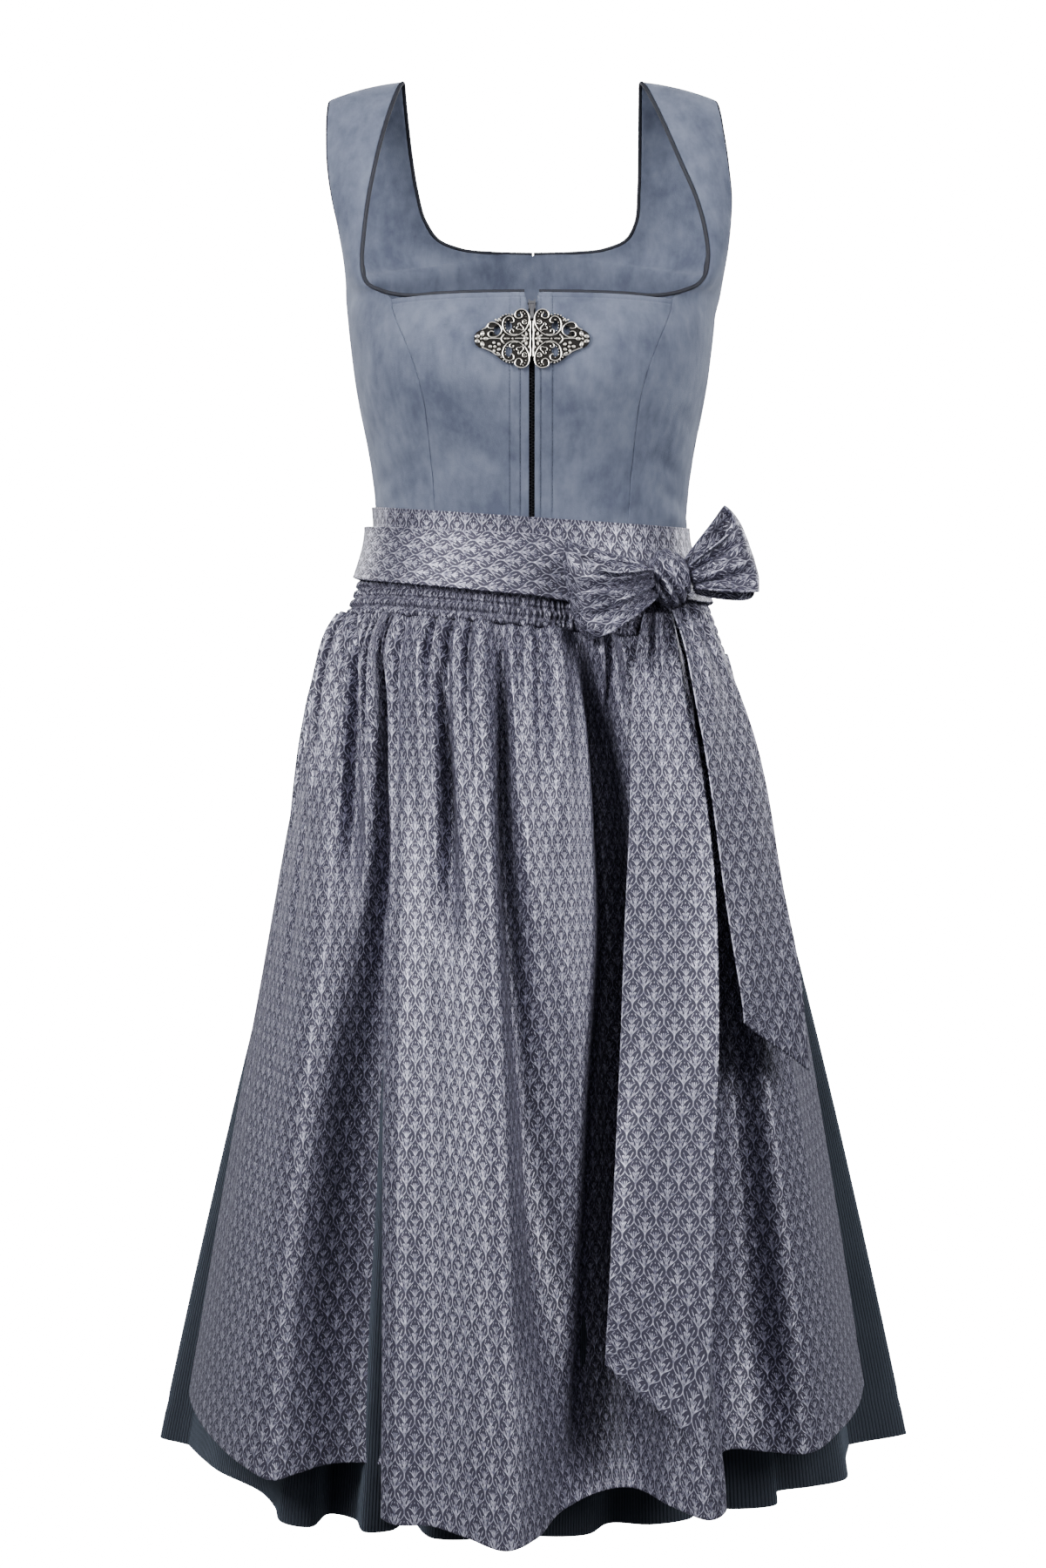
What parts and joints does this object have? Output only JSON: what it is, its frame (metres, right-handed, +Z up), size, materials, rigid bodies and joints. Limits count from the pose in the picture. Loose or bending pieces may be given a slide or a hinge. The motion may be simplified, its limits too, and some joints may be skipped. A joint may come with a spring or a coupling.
{
  "type": "velvet dirndl dress with apron",
  "caption": "Sleeveless velvet dirndl with zipped square-necked bodice, filigree clasp, corduroy skirt and jacquard apron tied in a bow.",
  "frame": {"origin": "midway between the two shoulder straps, at the height where they rest on the wearer's shoulders", "axes": "+Z up, the front faces -Y, +X towards the wearer's left"},
  "size_m": [0.6034, 0.6128, 1.075],
  "materials": {
    "velvet": "short slate-blue velvet nap with mottled sheen",
    "piping": "dark twisted piping",
    "corduroy": "fine-wale corduroy, matte",
    "jacquard": "satin jacquard with small flowers in a lattice",
    "zip_tape": "dark woven zip tape and coil",
    "zip_metal": "dark lacquered zip slider and tab",
    "clasp_silver": "antiqued silver filigree, dark in the hollows"
  },
  "bodies": {
    "dress": {"bodice_front_left": "velvet", "bodice_side_front_left": "velvet", "bodice_back_left": "velvet", "bodice_side_back_left": "velvet", "neck_piping_left": "piping", "armhole_piping_left": "piping", "clasp_left": "clasp_silver", "bow_loop_left": "jacquard", "bodice_front_right": "velvet", "bodice_side_front_right": "velvet", "bodice_back_right": "velvet", "bodice_side_back_right": "velvet", "neck_piping_right": "piping", "armhole_piping_right": "piping", "clasp_right": "clasp_silver", "bow_loop_right": "jacquard", "skirt_front": "corduroy", "skirt_back": "corduroy", "apron_skirt": "jacquard", "apron_yoke": "jacquard", "apron_waistband": "jacquard", "tie_left": "jacquard", "tie_right": "jacquard", "bow_knot": "jacquard", "bow_tail_long": "jacquard", "bow_tail_short": "jacquard", "zip": "zip_tape", "zip_slider": "zip_metal"},
    "zip_pull": {"zip_pull": "zip_metal"}
  },
  "joints": [
    {"name": "zip_pull_hinge", "type": "hinge", "parent": "dress", "child": "zip_pull", "pos_m": [0, -0.12096, -0.18692], "axis": [-1, 0, 0], "range_deg": [0, 170]}
  ]
}
